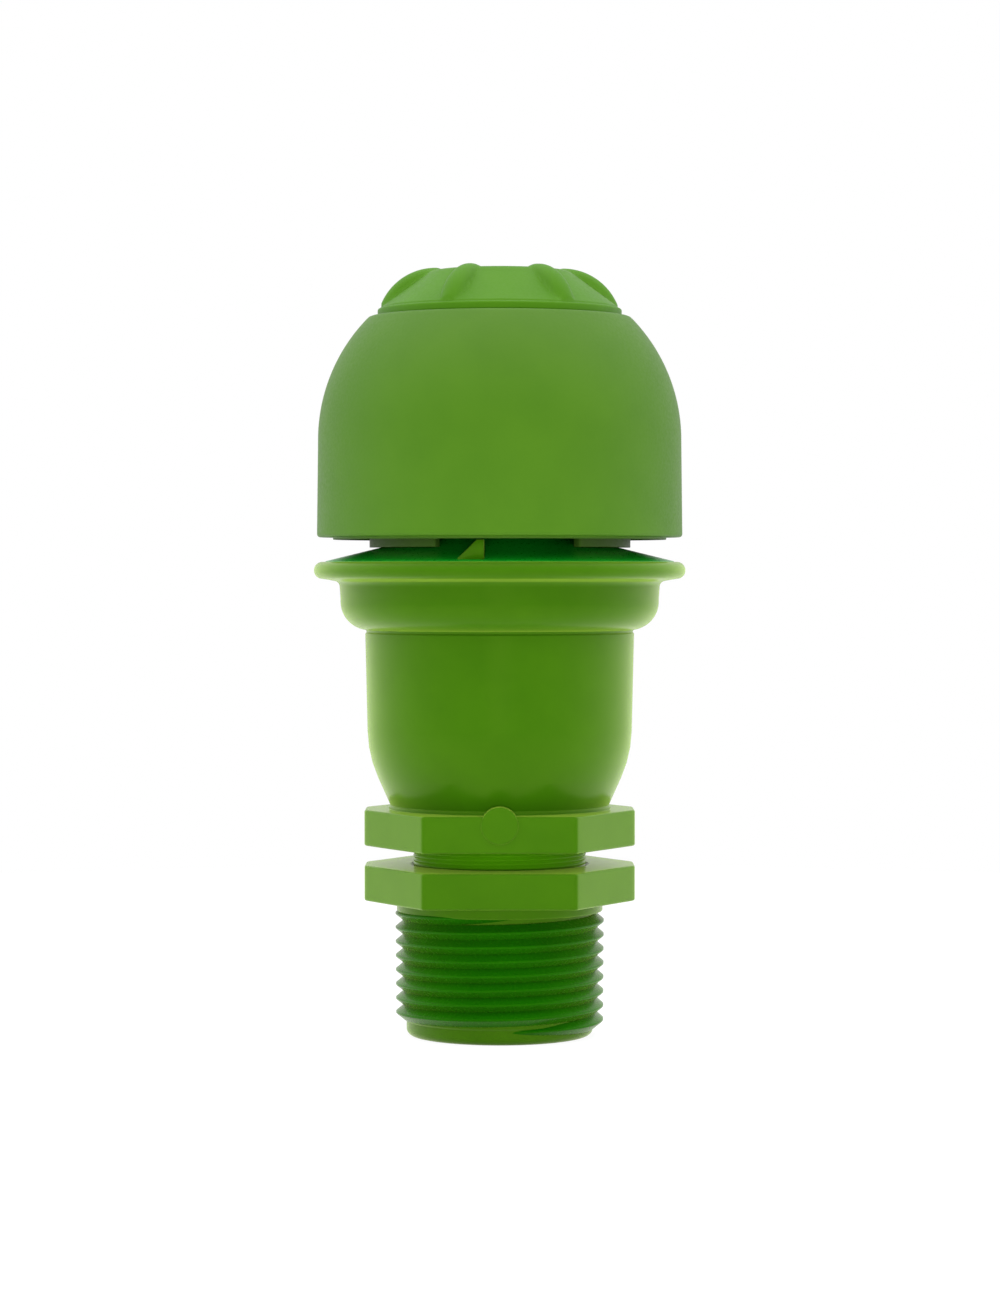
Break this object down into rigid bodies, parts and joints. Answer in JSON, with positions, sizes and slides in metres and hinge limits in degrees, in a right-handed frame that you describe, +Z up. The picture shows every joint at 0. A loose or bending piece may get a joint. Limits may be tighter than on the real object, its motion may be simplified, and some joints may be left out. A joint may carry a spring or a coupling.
{
  "type": "air release valve",
  "caption": "Combination air release valve with a male pipe thread inlet, two hexagons, a barrel with a bowl, a dome cap on legs and a ribbed hand knob.",
  "frame": {"origin": "centre of the inlet's end face, at the bottom of the thread", "axes": "+Z up the valve's axis towards the knob, -Y is the front, where the hexagon's flat with the round boss faces"},
  "size_m": [0.058, 0.058, 0.1198],
  "materials": {
    "body_plastic": "moulded, glossy green",
    "cover_plastic": "moulded, dark green",
    "dome_plastic": "moulded, satin green",
    "knob_plastic": "moulded, satin green",
    "inner_plastic": "moulded, natural white",
    "float_plastic": "moulded, natural",
    "rubber": "moulded, black",
    "steel": "turned stainless",
    "brass": "turned"
  },
  "bodies": {
    "root": {"inlet_adapter": "body_plastic", "adapter_gasket": "rubber", "main_body": "body_plastic", "float_cage": "inner_plastic", "cover": "cover_plastic", "cover_o_ring": "rubber", "centre_post": "steel", "post_washer": "steel", "post_nut": "steel", "dome_cap": "dome_plastic", "dome_bushing": "inner_plastic"},
    "disc": {"orifice_disc": "inner_plastic", "disc_seal_ring": "rubber", "small_nozzle": "brass", "link_ring": "steel"},
    "float": {"float_body": "float_plastic", "float_lid": "float_plastic", "float_stem": "float_plastic", "peel_seal": "rubber", "seal_clip": "steel"},
    "washer": {"knob_washer": "inner_plastic"},
    "knob": {"knob": "knob_plastic", "knob_insert": "brass"}
  },
  "joints": [
    {"name": "disc_lift", "type": "slide", "parent": "root", "child": "disc", "axis": [0, 0, 1], "range_m": [0, 0.009]},
    {"name": "float_rise", "type": "slide", "parent": "disc", "child": "float", "axis": [0, 0, 1], "range_m": [0, 0.0025]},
    {"name": "knob_rise", "type": "slide", "parent": "root", "child": "washer", "axis": [0, 0, 1], "range_m": [0, 0.00375]},
    {"name": "knob_turn", "type": "hinge", "parent": "washer", "child": "knob", "pos_m": [0, 0, 0.1125], "axis": [0, 0, 1], "range_deg": [0, 1080]}
  ],
  "couplings": [
    {"joint": "knob_rise", "follows": "knob_turn", "m_per_rad": 0.00019894}
  ]
}
